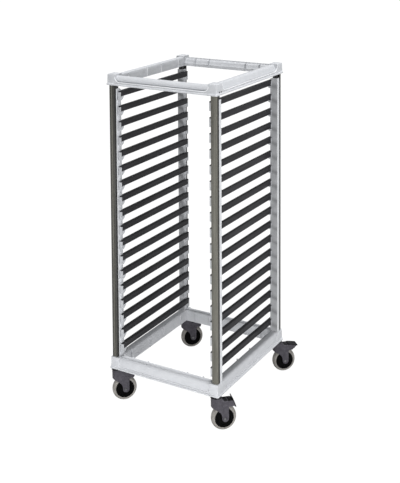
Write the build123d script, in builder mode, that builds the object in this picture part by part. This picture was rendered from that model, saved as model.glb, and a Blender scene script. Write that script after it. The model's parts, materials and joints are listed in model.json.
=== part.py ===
"""Sheet pan rack on four swivel casters: eighteen pan levels between moulded frames.

Millimetres.  X runs across the front, +Y to the back, +Z up.  The origin is on the floor,
under the middle of the two frames.
"""
import os
from math import cos, radians, sin

from build123d import *

os.makedirs("parts", exist_ok=True)

# ---------------------------------------------------------------- driving dimensions
LEVELS = 18
PITCH = 76.2                       # three inches from one pan level to the next
FRAME_W = 620.0                    # walls of the frames, left to right
FRAME_D = 716.0                    # walls of the frames, front to back
LIP = 5.0                          # how far the lip stands out of the walls
LIP_H = 8.0
MEMBER = 47.0                      # width of every frame member
BLOCK_D = 60.0                     # corner blocks, front to back; as wide as the members
BASE_Z = 172.0                     # underside of the bottom frame
BASE_H = 61.0
TOP_Z = 1628.0                     # underside of the top frame
TOP_H = 56.0
FIRST_RAIL_Z = 272.0               # underside of the lowest rail
RAIL_H = 27.5
RAIL_IN_X = 254.0                  # inner face of a rail
RAIL_OUT_X = 272.4
WHEEL_R = 62.5
TRAIL = 38.0                       # from the swivel axis back to the axle
SWIVEL_X = 288.0
SWIVEL_Y = 338.0
HEADING = 45.0                     # the way the wheels trail, in degrees from +X

# ---------------------------------------------------------------- worked-out sizes
WALL_X = FRAME_W / 2
WALL_Y = FRAME_D / 2
INNER_X = WALL_X - MEMBER
INNER_Y = WALL_Y - MEMBER
BLOCK_IN_X = INNER_X
BLOCK_IN_Y = WALL_Y - BLOCK_D
BASE_TOP = BASE_Z + BASE_H
SPAN_X = 2 * BLOCK_IN_X
SPAN_Y = 2 * BLOCK_IN_Y

POST_X = 289.5                     # middle of a post sleeve
POST_Y = 321.0
POST_W = 33.0
POST_D = 32.0
POST_IN_X = POST_X - POST_W / 2
POST_IN_Y = POST_Y - POST_D / 2
POST_OUT_Y = POST_Y + POST_D / 2
COLLAR = 22.0                      # bare core between the sleeve and the top frame
SLEEVE_Z0 = BASE_TOP
SLEEVE_Z1 = TOP_Z - COLLAR
CORE_W = 22.0
CORE_D = 24.0
CORE_WALL = 2.5
SOCKET = 28.0                      # how deep the core stands in each frame
FIT = 0.1

BUMPER_T = 15.0                    # how far a bumper strip stands out of its post
BUMPER_KEY_W = 12.0                # rib that keys the strip into the sleeve
BUMPER_KEY_T = 3.0

TONGUE_H = 5.0                     # thickness of a rail's top
RAIL_WALL = 3.0
RAIL_TOP_Y = 328.0                 # the top reaches furthest, then the inner wall, the outer wall
RAIL_INNER_Y = 322.0
RAIL_OUTER_Y = 298.0
SPINE_T = 8.0                      # a rail bracket's upright spine
SPINE_Y = 321.0
CAP_Y = 328.0                      # front of the block that covers a rail's end
SEAT_GAP = 0.3                     # clearance between rails and brackets
SLIP = 0.1

SIDES = {"left": -1, "right": 1}
ENDS = {"front": -1, "rear": 1}
CORNERS = [(end + "_" + side, SIDES[side], ENDS[end]) for end in ENDS for side in SIDES]


def save(piece, label):
    piece.part.label = label
    export_step(piece.part, "parts/" + label + ".step")


def box_between(x0, x1, y0, y1, z0, z1, mode=Mode.ADD):
    """A plain block given by its limits."""
    x0, x1 = sorted((x0, x1))
    y0, y1 = sorted((y0, y1))
    centre = ((x0 + x1) / 2, (y0 + y1) / 2, (z0 + z1) / 2)
    with Locations(centre):
        Box(x1 - x0, y1 - y0, z1 - z0, mode=mode)


# ---------------------------------------------------------------- frames
RIB_W = 5.0
RIB_T = 3.0
RIBS_X = (114.0, 196.0)
RIBS_Y = (68.0, 241.0)
HOLLOW_WALL = 5.0


def corner_blocks(z0, height, socket_z0, socket_z1):
    """Four corner blocks with the sockets the post cores stand in."""
    for _, sx, sy in CORNERS:
        box_between(sx * BLOCK_IN_X, sx * WALL_X, sy * BLOCK_IN_Y, sy * WALL_Y, z0, z0 + height)
    for _, sx, sy in CORNERS:
        half_w = CORE_W / 2 + FIT
        half_d = CORE_D / 2 + FIT
        box_between(sx * POST_X - half_w, sx * POST_X + half_w, sy * POST_Y - half_d,
                    sy * POST_Y + half_d, socket_z0, socket_z1, Mode.SUBTRACT)


def lip_ring(z0):
    """The low lip that runs round the foot of a frame's outer walls."""
    with BuildSketch(Plane.XY.offset(z0)) as lip_outline:
        RectangleRounded(FRAME_W + 2 * LIP, FRAME_D + 2 * LIP, 6)
        Rectangle(FRAME_W - 10, FRAME_D - 10, mode=Mode.SUBTRACT)
    extrude(lip_outline.sketch, amount=LIP_H)


def inner_ribs(z0, height):
    """Upright ribs on the inner faces of the four members."""
    for x in RIBS_X:
        for sx in (-1, 1):
            for sy in (-1, 1):
                box_between(sx * x - RIB_W / 2, sx * x + RIB_W / 2, sy * (INNER_Y - RIB_T),
                            sy * (INNER_Y + 1), z0, z0 + height)
    for y in RIBS_Y:
        for sx in (-1, 1):
            for sy in (-1, 1):
                box_between(sx * (INNER_X - RIB_T), sx * (INNER_X + 1), sy * y - RIB_W / 2,
                            sy * y + RIB_W / 2, z0, z0 + height)


SCREW_R = 2.5
SCREW_DEPTH = 8.0
SCREW_HEAD_R = 4.0
SCREW_HEAD_T = 1.4
SCREW_STEP = 9.0
SCREW_H = 6.5                      # height of the screws above the lip of the top frame


def screw_places():
    """Two screws to a block: in its side at the front of the rack, in its back at the rear."""
    places = []
    for _, sx, sy in CORNERS:
        for step in (-SCREW_STEP, SCREW_STEP):
            if sy < 0:
                places.append(Location((sx * WALL_X, sy * POST_Y + step, TOP_Z + LIP_H + SCREW_H),
                                       (0, sx * 90, 0)))
            else:
                places.append(Location((sx * POST_X + step, sy * WALL_Y, TOP_Z + LIP_H + SCREW_H),
                                       (-90, 0, 0)))
    return places


GRIP_INNER_H = 38.0                # where the grip bar's curve leaves the inner wall
GRIP_TOP_H = 47.0
GRIP_OUT = 42.0
GRIP_FOOT_H = 21.0
LEDGE_H = 17.0
SIDE_TOP_H = 51.0
SIDE_FLAT = 26.0

with BuildPart() as top_frame:
    # back grip bar: a convex bar over a ledge
    with BuildSketch(Plane.YZ.offset(-SPAN_X / 2 - 1)):
        with BuildLine():
            Line((INNER_Y, TOP_Z), (INNER_Y, TOP_Z + GRIP_INNER_H))
            ThreePointArc((INNER_Y, TOP_Z + GRIP_INNER_H), (INNER_Y + 20, TOP_Z + GRIP_TOP_H),
                          (INNER_Y + GRIP_OUT, TOP_Z + GRIP_FOOT_H))
            Polyline((INNER_Y + GRIP_OUT, TOP_Z + GRIP_FOOT_H), (WALL_Y, TOP_Z + LEDGE_H),
                     (WALL_Y, TOP_Z), (INNER_Y, TOP_Z))
        make_face()
    extrude(amount=SPAN_X + 2)
    # right side member: a dished panel over the same ledge
    with BuildSketch(Plane.XZ.offset(-SPAN_Y / 2 - 1)):
        with BuildLine():
            Polyline((INNER_X, TOP_Z), (INNER_X, TOP_Z + SIDE_TOP_H),
                     (INNER_X + SIDE_FLAT, TOP_Z + SIDE_TOP_H))
            ThreePointArc((INNER_X + SIDE_FLAT, TOP_Z + SIDE_TOP_H),
                          (INNER_X + SIDE_FLAT + 6, TOP_Z + 32),
                          (INNER_X + GRIP_OUT, TOP_Z + GRIP_FOOT_H))
            Polyline((INNER_X + GRIP_OUT, TOP_Z + GRIP_FOOT_H), (WALL_X, TOP_Z + LEDGE_H),
                     (WALL_X, TOP_Z), (INNER_X, TOP_Z))
        make_face()
    extrude(amount=SPAN_Y + 2)
    mirror(about=Plane.XZ)
    mirror(about=Plane.YZ)
    lip_ring(TOP_Z)
    # the members are hollow from below
    for sy in (-1, 1):
        box_between(-SPAN_X / 2 + 4, SPAN_X / 2 - 4, sy * (INNER_Y + HOLLOW_WALL),
                    sy * (WALL_Y - HOLLOW_WALL), TOP_Z - 1, TOP_Z + 12, Mode.SUBTRACT)
    for sx in (-1, 1):
        box_between(sx * (INNER_X + HOLLOW_WALL), sx * (WALL_X - HOLLOW_WALL), -SPAN_Y / 2 + 4,
                    SPAN_Y / 2 - 4, TOP_Z - 1, TOP_Z + 12, Mode.SUBTRACT)
    inner_ribs(TOP_Z, GRIP_INNER_H - 2)
    corner_blocks(TOP_Z, TOP_H, TOP_Z - 1, TOP_Z + SOCKET)
    rims = top_frame.edges().filter_by(Axis.Z).filter_by(
        lambda e: abs(abs(e.center().X) - WALL_X) < 0.1 and abs(abs(e.center().Y) - WALL_Y) < 0.1)
    fillet(rims, 3)
    # screw holes low in the blocks
    for place in screw_places():
        with Locations(place):
            Cylinder(SCREW_R + 0.05, 2 * SCREW_DEPTH, mode=Mode.SUBTRACT)
save(top_frame, "top_frame")

PANEL_IN = 3.0                     # depth of the shallow panel in the bottom frame's walls
PANEL_Z0 = 14.0
PANEL_Z1 = 54.0
STEM_R = 8.0
STEM_TOP = BASE_Z + 26

with BuildPart() as bottom_frame:
    for sy in (-1, 1):
        box_between(-SPAN_X / 2 - 1, SPAN_X / 2 + 1, sy * INNER_Y, sy * WALL_Y, BASE_Z, BASE_TOP)
        box_between(-SPAN_X / 2, SPAN_X / 2, sy * (WALL_Y - PANEL_IN), sy * WALL_Y,
                    BASE_Z + PANEL_Z0, BASE_Z + PANEL_Z1, Mode.SUBTRACT)
        box_between(-SPAN_X / 2 + 4, SPAN_X / 2 - 4, sy * (INNER_Y + HOLLOW_WALL),
                    sy * (WALL_Y - HOLLOW_WALL - PANEL_IN), BASE_Z - 1,
                    BASE_TOP - HOLLOW_WALL, Mode.SUBTRACT)
    for sx in (-1, 1):
        box_between(sx * INNER_X, sx * WALL_X, -SPAN_Y / 2 - 1, SPAN_Y / 2 + 1, BASE_Z, BASE_TOP)
        box_between(sx * (WALL_X - PANEL_IN), sx * WALL_X, -SPAN_Y / 2, SPAN_Y / 2,
                    BASE_Z + PANEL_Z0, BASE_Z + PANEL_Z1, Mode.SUBTRACT)
        box_between(sx * (INNER_X + HOLLOW_WALL), sx * (WALL_X - HOLLOW_WALL - PANEL_IN),
                    -SPAN_Y / 2 + 4, SPAN_Y / 2 - 4, BASE_Z - 1, BASE_TOP - HOLLOW_WALL,
                    Mode.SUBTRACT)
    lip_ring(BASE_Z)
    inner_ribs(BASE_Z, BASE_H)
    corner_blocks(BASE_Z, BASE_H, BASE_TOP - SOCKET, BASE_TOP + 1)
    rims = bottom_frame.edges().filter_by(Axis.Z).filter_by(
        lambda e: abs(abs(e.center().X) - WALL_X) < 0.1 and abs(abs(e.center().Y) - WALL_Y) < 0.1)
    fillet(rims, 3)
    for _, sx, sy in CORNERS:
        # bore for the caster stem, from below
        with Locations((sx * SWIVEL_X, sy * SWIVEL_Y, (BASE_Z + STEM_TOP) / 2)):
            Cylinder(STEM_R, STEM_TOP - BASE_Z, mode=Mode.SUBTRACT)
save(bottom_frame, "bottom_frame")

# ---------------------------------------------------------------- frame screws
with BuildPart() as screws:
    for place in screw_places():
        with Locations(place):
            Cylinder(SCREW_R, SCREW_DEPTH, align=(Align.CENTER, Align.CENTER, Align.MAX))
            Cylinder(SCREW_HEAD_R, SCREW_HEAD_T, align=(Align.CENTER, Align.CENTER, Align.MIN))
save(screws, "frame_screws")

# ---------------------------------------------------------------- posts
for corner, sx, sy in CORNERS:
    with BuildPart() as core:
        # square tube standing in a socket of each frame
        z0 = BASE_TOP - SOCKET
        z1 = TOP_Z + SOCKET
        with BuildSketch(Plane.XY.offset(z0)):
            with Locations((sx * POST_X, sy * POST_Y)):
                Rectangle(CORE_W, CORE_D)
                Rectangle(CORE_W - 2 * CORE_WALL, CORE_D - 2 * CORE_WALL, mode=Mode.SUBTRACT)
        extrude(amount=z1 - z0)
    save(core, "post_core_" + corner)

    with BuildPart() as sleeve:
        # outline of the sleeve, with a keyway for the bumper strip
        with BuildSketch(Plane.XY.offset(SLEEVE_Z0)):
            with Locations((sx * POST_X, sy * POST_Y)):
                Rectangle(POST_W, POST_D)
                Rectangle(CORE_W + 2 * FIT, CORE_D + 2 * FIT, mode=Mode.SUBTRACT)
            with Locations((sx * POST_X, sy * (POST_OUT_Y - BUMPER_KEY_T / 2))):
                Rectangle(BUMPER_KEY_W, BUMPER_KEY_T, mode=Mode.SUBTRACT)
        extrude(amount=SLEEVE_Z1 - SLEEVE_Z0)
    save(sleeve, "post_sleeve_" + corner)

    with BuildPart() as bumper:
        # soft strip on the outer end of the sleeve
        strip_end = POST_OUT_Y + BUMPER_T
        with BuildSketch(Plane.XY.offset(SLEEVE_Z0)) as strip_outline:
            with Locations((sx * POST_X, sy * (POST_OUT_Y + BUMPER_T / 2))):
                Rectangle(POST_W, BUMPER_T)
            fillet(strip_outline.vertices().filter_by(lambda v: abs(v.Y) > strip_end - 1), 6)
            with Locations((sx * POST_X, sy * (POST_OUT_Y - BUMPER_KEY_T / 2))):
                Rectangle(BUMPER_KEY_W, BUMPER_KEY_T)
        extrude(amount=TOP_Z - SLEEVE_Z0)
    save(bumper, "bumper_strip_" + corner)

# ---------------------------------------------------------------- rail brackets
GUSSET_H = 19.0                    # depth of the quarter-round support under a rail's end
GUSSET_Y = 296.5
GUSSET_R = 26.0

for corner, sx, sy in CORNERS:
    with BuildPart() as bracket:
        # spine against the inner side of the post
        box_between(sx * (POST_IN_X - SPINE_T), sx * POST_IN_X, sy * POST_IN_Y, sy * SPINE_Y,
                    SLEEVE_Z0 + 4, SLEEVE_Z1 - 4)
        for level in range(LEVELS):
            z = FIRST_RAIL_Z + level * PITCH
            shelf = z + RAIL_H - TONGUE_H - SLIP
            inside_x = RAIL_IN_X + RAIL_WALL + SEAT_GAP
            cap_y = RAIL_INNER_Y + SEAT_GAP
            # block inside the rail, in front of the post and beside it
            box_between(sx * inside_x, sx * (RAIL_OUT_X - SLIP), sy * (RAIL_OUTER_Y + SEAT_GAP),
                        sy * (POST_IN_Y + 1), z - SLIP, shelf)
            box_between(sx * inside_x, sx * POST_IN_X, sy * POST_IN_Y, sy * cap_y, z - SLIP, shelf)
            # block that covers the rail's end
            box_between(sx * RAIL_IN_X, sx * (POST_IN_X - 4), sy * cap_y, sy * CAP_Y,
                        z - GUSSET_H, shelf)
            # quarter-round support below
            with BuildSketch(Plane.YZ.offset(sx * RAIL_IN_X)):
                with BuildLine():
                    Line((sy * cap_y, z - SLIP), (sy * GUSSET_Y, z - SLIP))
                    RadiusArc((sy * GUSSET_Y, z - SLIP), (sy * cap_y, z - GUSSET_H),
                              -sy * GUSSET_R)
                    Line((sy * cap_y, z - GUSSET_H), (sy * cap_y, z - SLIP))
                make_face()
            extrude(amount=sx * (RAIL_OUT_X - RAIL_WALL - SEAT_GAP - RAIL_IN_X))
    save(bracket, "rail_bracket_" + corner)

# ---------------------------------------------------------------- rails, one pair per level
FOOT_H = 5.0                       # small foot under each end of the outer wall
FOOT_Y = 278.0
TOP_EDGE_R = 2.0

for level in range(LEVELS):
    z = FIRST_RAIL_Z + level * PITCH
    shelf = z + RAIL_H - TONGUE_H
    with BuildPart() as rails:
        for sx in (-1, 1):
            # flat top, narrower where it passes the posts
            box_between(sx * RAIL_IN_X, sx * RAIL_OUT_X, SEAT_GAP - POST_IN_Y,
                        POST_IN_Y - SEAT_GAP, shelf, z + RAIL_H)
            box_between(sx * RAIL_IN_X, sx * (POST_IN_X - SPINE_T - SEAT_GAP), -RAIL_TOP_Y,
                        RAIL_TOP_Y, shelf, z + RAIL_H)
            # inner and outer wall
            box_between(sx * RAIL_IN_X, sx * (RAIL_IN_X + RAIL_WALL), -RAIL_INNER_Y,
                        RAIL_INNER_Y, z, shelf + 1)
            box_between(sx * (RAIL_OUT_X - RAIL_WALL), sx * RAIL_OUT_X, -RAIL_OUTER_Y,
                        RAIL_OUTER_Y, z, shelf + 1)
            for sy in (-1, 1):
                with BuildSketch(Plane.YZ.offset(sx * (RAIL_OUT_X - RAIL_WALL))):
                    with BuildLine():
                        Polyline((sy * FOOT_Y, z + 1), (sy * RAIL_OUTER_Y, z + 1),
                                 (sy * RAIL_OUTER_Y, z - FOOT_H), (sy * FOOT_Y, z), close=True)
                    make_face()
                extrude(amount=sx * RAIL_WALL)
        top_edges = rails.edges().filter_by(Axis.Y).filter_by(
            lambda e: abs(e.center().Z - z - RAIL_H) < 0.1
            and abs(abs(e.center().X) - RAIL_IN_X) < 0.1)
        fillet(top_edges, TOP_EDGE_R)
    save(rails, "rail_pair_%02d" % (level + 1))

# ---------------------------------------------------------------- casters
KINGPIN_R = 6.0
RUNNING = 0.05                     # radial running clearance
THRUST_R = 14.0
PLATE_R = 27.0
PLATE_Z = 164.0
FORK_TOP = 162.0
KINGPIN_FOOT = 127.0
KINGPIN_HEAD_R = 9.0
FORK_HALF_W = 26.0
HOUSING_R = 24.0                   # round bearing housing at the head of a fork
HOUSING_BLEND = 22.0               # where the housing has widened to the fork's full width
HOOD_LENGTH = 100.0
HOOD_Z = 146.0                     # top of the hood, behind the housing
POCKET_HALF_W = 20.5
POCKET_R = 66.0
AXLE_R = 4.0
HUB_R = 47.0
HUB_HALF_W = 17.5
BOSS_R = 12.0
TREAD_HALF_W = 18.0
LEG_R = 16.25
LEG_SHIFT = 3.75                   # the legs stand a little behind the axle

PEDAL_TURN = {"front_right": 0.0, "rear_right": 60.0}   # pressed down, let up
PIVOT_S = 79.0                     # along the trail, from the swivel axis
PIVOT_Z = 140.0
PEDAL_SLOT_R = 24.0
PEDAL_PIN_R = 2.5
PEDAL_HALF_W = 22.0
TOE_TOP = (0.0, 20.0)              # top and foot of the toe plate, from the pivot
TOE_FOOT = (18.0, -28.0)
TOE_T = 4.0
CHEEK_GAP = 0.4

leg_s = TRAIL + LEG_SHIFT
heading = (cos(radians(HEADING)), sin(radians(HEADING)), 0)
axle_dir = (sin(radians(HEADING)), -cos(radians(HEADING)), 0)


def wheel_plane(sx, sy):
    """Upright plane through a wheel's middle: x runs along the trail, y runs up."""
    return Plane(origin=(sx * SWIVEL_X, sy * SWIVEL_Y, 0), x_dir=heading, z_dir=axle_dir)


def on_axle(plane):
    """The same plane with its origin on the axle."""
    return Plane(origin=plane.from_local_coords(Vector(TRAIL, WHEEL_R, 0)), x_dir=plane.x_dir,
                 z_dir=plane.z_dir)


for corner, sx, sy in CORNERS:
    plane = wheel_plane(sx, sy)
    wheel = on_axle(plane)

    with BuildPart() as stem:
        # top plate, stem up into the corner block, kingpin down through the fork
        with BuildSketch(Plane.XY.offset(PLATE_Z)):
            with Locations((sx * SWIVEL_X, sy * SWIVEL_Y)):
                Circle(PLATE_R)
        extrude(amount=BASE_Z - PLATE_Z)
        with BuildSketch(Plane.XY.offset(FORK_TOP + 0.1)):
            with Locations((sx * SWIVEL_X, sy * SWIVEL_Y)):
                Circle(THRUST_R)
        extrude(amount=PLATE_Z - FORK_TOP)
        with BuildSketch(Plane.XY.offset(BASE_Z - 1)):
            with Locations((sx * SWIVEL_X, sy * SWIVEL_Y)):
                Circle(STEM_R)
        extrude(amount=STEM_TOP - BASE_Z)
        with BuildSketch(Plane.XY.offset(KINGPIN_FOOT)):
            with Locations((sx * SWIVEL_X, sy * SWIVEL_Y)):
                Circle(KINGPIN_R)
        extrude(amount=PLATE_Z - KINGPIN_FOOT + 1)
        with BuildSketch(Plane.XY.offset(KINGPIN_FOOT - 3)):
            with Locations((sx * SWIVEL_X, sy * SWIVEL_Y)):
                Circle(KINGPIN_HEAD_R)
        extrude(amount=3)
    save(stem, "caster_stem_" + corner)

    with BuildPart() as fork:
        # hooded fork: hood over the wheel, one tapering leg on each side
        with BuildSketch(plane):
            with BuildLine():
                Polyline((leg_s - LEG_R, WHEEL_R), (leg_s - LEG_R - 1, 78), (18, 91), (3, 104),
                         (-21, 117), (-31, 125), (-34, 131), (-34, 134), (-31, 137),
                         (-31, FORK_TOP - 2), (-29, FORK_TOP), (24, FORK_TOP))
                ThreePointArc((24, FORK_TOP), (30, 151), (42, HOOD_Z))
                Polyline((42, HOOD_Z), (74, HOOD_Z), (83, 143), (87, 136), (86, 127), (81, 120),
                         (61, 119), (leg_s + LEG_R, 108), (leg_s + LEG_R, WHEEL_R))
                ThreePointArc((leg_s + LEG_R, WHEEL_R), (leg_s, WHEEL_R - LEG_R),
                              (leg_s - LEG_R, WHEEL_R))
            make_face()
        extrude(amount=FORK_HALF_W, both=True)
        # seen from above, the hood runs out of a round housing
        level_plane = Plane(origin=plane.origin, x_dir=heading, z_dir=(0, 0, 1))
        with BuildSketch(level_plane):
            Circle(HOUSING_R)
            with BuildLine():
                Polyline((0, -HOUSING_R), (HOUSING_BLEND, -FORK_HALF_W), (HOOD_LENGTH, -FORK_HALF_W),
                         (HOOD_LENGTH, FORK_HALF_W), (HOUSING_BLEND, FORK_HALF_W), (0, HOUSING_R),
                         close=True)
            make_face()
        extrude(amount=FORK_TOP, mode=Mode.INTERSECT)
        with BuildSketch(wheel):
            Circle(POCKET_R)
            with Locations((0, -POCKET_R / 2)):
                Rectangle(2 * POCKET_R, POCKET_R)
        extrude(amount=POCKET_HALF_W, both=True, mode=Mode.SUBTRACT)
        # bores for the kingpin, its head and the axle
        with BuildSketch(Plane.XY.offset(KINGPIN_FOOT - 20)):
            with Locations((sx * SWIVEL_X, sy * SWIVEL_Y)):
                Circle(KINGPIN_HEAD_R + 0.5)
        extrude(amount=20.5, mode=Mode.SUBTRACT)
        with BuildSketch(Plane.XY.offset(KINGPIN_FOOT)):
            with Locations((sx * SWIVEL_X, sy * SWIVEL_Y)):
                Circle(KINGPIN_R + RUNNING)
        extrude(amount=50, mode=Mode.SUBTRACT)
        with BuildSketch(wheel):
            Circle(AXLE_R + 0.01)
        extrude(amount=FORK_HALF_W + 1, both=True, mode=Mode.SUBTRACT)
        if corner in PEDAL_TURN:
            # slot and pin holes for the brake pedal
            with BuildSketch(plane):
                with Locations((PIVOT_S, PIVOT_Z)):
                    Circle(PEDAL_SLOT_R)
            extrude(amount=PEDAL_HALF_W + CHEEK_GAP, both=True, mode=Mode.SUBTRACT)
            with BuildSketch(plane):
                with Locations((PIVOT_S, PIVOT_Z)):
                    Circle(PEDAL_PIN_R + RUNNING)
            extrude(amount=FORK_HALF_W + 1, both=True, mode=Mode.SUBTRACT)
    save(fork, "caster_fork_" + corner)

    with BuildPart() as axle:
        with BuildSketch(wheel):
            Circle(AXLE_R)
        extrude(amount=FORK_HALF_W, both=True)
        for face in (-1, 1):
            with BuildSketch(wheel.offset(face * FORK_HALF_W)):
                RegularPolygon(6.5, 6)
            extrude(amount=face * 3.5)
    save(axle, "caster_axle_" + corner)

    with BuildPart() as hub:
        # dished disc with a boss round the axle
        with BuildSketch(wheel):
            Circle(HUB_R)
        extrude(amount=HUB_HALF_W, both=True)
        for face in (-1, 1):
            with BuildSketch(wheel.offset(face * HUB_HALF_W)):
                Circle(HUB_R - 5)
                Circle(BOSS_R, mode=Mode.SUBTRACT)
            extrude(amount=-face * 3, mode=Mode.SUBTRACT)
            with BuildSketch(wheel.offset(face * HUB_HALF_W)):
                Circle(BOSS_R)
            extrude(amount=face * 2.5)
        with BuildSketch(wheel):
            Circle(AXLE_R + RUNNING)
        extrude(amount=FORK_HALF_W, both=True, mode=Mode.SUBTRACT)
    save(hub, "caster_hub_" + corner)

    with BuildPart() as tyre:
        # rounded tread, turned about the axle
        section = Plane(origin=wheel.origin, x_dir=plane.y_dir, z_dir=plane.x_dir)
        with BuildSketch(section):
            with BuildLine():
                Polyline((WHEEL_R - 8, -TREAD_HALF_W), (HUB_R, -TREAD_HALF_W + 2),
                         (HUB_R, TREAD_HALF_W - 2), (WHEEL_R - 8, TREAD_HALF_W))
                ThreePointArc((WHEEL_R - 8, TREAD_HALF_W), (WHEEL_R, 0),
                              (WHEEL_R - 8, -TREAD_HALF_W))
            make_face()
        revolve(axis=Axis(wheel.origin, wheel.z_dir))
    save(tyre, "caster_tyre_" + corner)

# ---------------------------------------------------------------- brake pedals
for corner, turn in PEDAL_TURN.items():
    sx = SIDES[corner.split("_")[1]]
    sy = ENDS[corner.split("_")[0]]
    plane = wheel_plane(sx, sy)
    lean = radians(turn)
    along = (heading[0] * cos(lean), heading[1] * cos(lean), sin(lean))
    pivot = Plane(origin=plane.from_local_coords(Vector(PIVOT_S, PIVOT_Z, 0)), x_dir=along,
                  z_dir=axle_dir)
    with BuildPart() as pedal:
        # foot lever: a deep cheek round the pivot, ending in a long toe plate
        with BuildSketch(pivot):
            with BuildLine():
                Polyline((-12, 1), (-8, 5), (-2, 5), (TOE_TOP[0] - TOE_T, TOE_TOP[1] - 2), TOE_TOP,
                         TOE_FOOT, (TOE_FOOT[0] - TOE_T, TOE_FOOT[1] - 1), (10, -23), (2, -21),
                         (-7, -19), (-14, -12), close=True)
            make_face()
        extrude(amount=PEDAL_HALF_W, both=True)
        with BuildSketch(pivot):
            Circle(PEDAL_PIN_R)
        extrude(amount=FORK_HALF_W, both=True)
    save(pedal, "brake_pedal_" + corner)
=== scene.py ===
"""Looks of the sheet pan rack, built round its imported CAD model.

The frame and Blender are in metres.  Mesh code below works in millimetres, in the same frame
(X across the front, +Y to the back, +Z up, origin on the floor), and place() scales it.
"""
import json
import math

import bmesh
import bpy
from mathutils import Matrix, Vector


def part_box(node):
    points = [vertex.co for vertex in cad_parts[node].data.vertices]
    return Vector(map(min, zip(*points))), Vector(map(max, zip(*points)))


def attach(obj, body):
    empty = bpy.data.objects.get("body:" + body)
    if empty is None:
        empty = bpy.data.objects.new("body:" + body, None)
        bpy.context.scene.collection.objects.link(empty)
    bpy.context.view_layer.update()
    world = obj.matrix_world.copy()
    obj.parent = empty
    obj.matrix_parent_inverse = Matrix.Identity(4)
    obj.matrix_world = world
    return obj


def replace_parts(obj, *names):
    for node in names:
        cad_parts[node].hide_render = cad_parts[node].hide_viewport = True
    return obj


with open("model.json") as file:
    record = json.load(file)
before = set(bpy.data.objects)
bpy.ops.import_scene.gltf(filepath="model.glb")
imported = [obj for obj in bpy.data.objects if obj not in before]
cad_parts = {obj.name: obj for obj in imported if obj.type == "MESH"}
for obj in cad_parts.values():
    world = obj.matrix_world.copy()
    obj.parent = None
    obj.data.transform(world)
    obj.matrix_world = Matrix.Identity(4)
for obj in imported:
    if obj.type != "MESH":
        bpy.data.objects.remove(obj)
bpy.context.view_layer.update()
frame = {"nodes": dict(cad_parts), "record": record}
nodes = frame["nodes"]

MM = 0.001
LEFT_RIGHT = (("left", -1), ("right", 1))
FRONT_REAR = (("front", -1), ("rear", 1))
CORNERS = [(end + "_" + side, sx, sy) for end, sy in FRONT_REAR for side, sx in LEFT_RIGHT]


# ---------------------------------------------------------------- places taken from the frame
def box_mm(node):
    """Lowest and highest corner of a CAD node, in millimetres."""
    low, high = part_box(node)
    return low / MM, high / MM


LIP = 5.0                          # how far the lip stands out round the foot of both frames
LIP_H = 8.0
MEMBER = 47.0                      # width of a frame member, from its inner wall to the lip

TOP_LOW, TOP_HIGH = box_mm("top_frame")
BASE_LOW, BASE_HIGH = box_mm("bottom_frame")
SLEEVE_LOW, SLEEVE_HIGH = box_mm("post_sleeve_front_right")
BUMPER_LOW, _ = box_mm("bumper_strip_front_right")
FIRST_RAIL, _ = box_mm("rail_pair_01")
SECOND_RAIL, _ = box_mm("rail_pair_02")

WALL_X = TOP_HIGH.x - LIP
WALL_Y = TOP_HIGH.y - LIP
INNER_X = WALL_X - MEMBER
INNER_Y = WALL_Y - MEMBER
TOP_Z = TOP_LOW.z
TOP_H = TOP_HIGH.z - TOP_LOW.z
BASE_Z = BASE_LOW.z
BASE_H = BASE_HIGH.z - BASE_LOW.z
POST_X0, POST_X1 = SLEEVE_LOW.x, SLEEVE_HIGH.x
POST_Y1 = -SLEEVE_LOW.y            # outer face of a post, measured from the middle of the rack
SLEEVE_Z0 = SLEEVE_LOW.z
BUMPER_Y1 = -BUMPER_LOW.y          # crown of a bumper strip, measured the same way
RAIL_Z = FIRST_RAIL.z
PITCH = SECOND_RAIL.z - RAIL_Z
LEVELS = sum(name.startswith("rail_pair_") for name in nodes)
JOINTS = {joint["name"]: joint for joint in frame["record"]["behaviour"]["joints"]}


# ---------------------------------------------------------------- material toolkit
def new_material(name):
    """An empty material, with its node tree and its shader."""
    mat = bpy.data.materials.new(name)
    mat.use_nodes = True
    return mat, mat.node_tree, mat.node_tree.nodes["Principled BSDF"]


def add(tree, kind, **settings):
    """A new shader node; settings are its properties, or with in_ before them its inputs."""
    node = tree.nodes.new(kind)
    for key, value in settings.items():
        if key.startswith("in_"):
            node.inputs[key.removeprefix("in_")].default_value = value
        else:
            setattr(node, key, value)
    return node


def noise(tree, scale, detail=2.0, stretch=None):
    """Noise in object space, with features about 1/scale metres across."""
    coord = add(tree, "ShaderNodeTexCoord")
    vector = coord.outputs["Object"]
    if stretch:
        mapping = add(tree, "ShaderNodeMapping")
        mapping.inputs["Scale"].default_value = stretch
        tree.links.new(vector, mapping.inputs["Vector"])
        vector = mapping.outputs["Vector"]
    texture = add(tree, "ShaderNodeTexNoise", in_Scale=scale, in_Detail=detail)
    tree.links.new(vector, texture.inputs["Vector"])
    return texture.outputs["Fac"]


def ramp(tree, source, stops):
    """A colour ramp; stops are (position, grey or colour)."""
    node = add(tree, "ShaderNodeValToRGB")
    while len(node.color_ramp.elements) < len(stops):
        node.color_ramp.elements.new(0.5)
    for element, (at, value) in zip(node.color_ramp.elements, stops):
        element.position = at
        colour = value if isinstance(value, tuple) else (value, value, value)
        element.color = (*colour, 1.0)
    tree.links.new(source, node.inputs["Fac"])
    return node.outputs["Color"]


def mix(tree, blend, factor, a, b):
    """Mixes two colours; each may be a socket or a fixed value."""
    node = add(tree, "ShaderNodeMix", data_type="RGBA", blend_type=blend)
    for socket, value in ((node.inputs[0], factor), (node.inputs[6], a), (node.inputs[7], b)):
        if hasattr(value, "is_output"):
            tree.links.new(value, socket)
        elif socket.type == "RGBA":
            socket.default_value = (*value, 1.0)
        else:
            socket.default_value = value
    return node.outputs[2]


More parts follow.
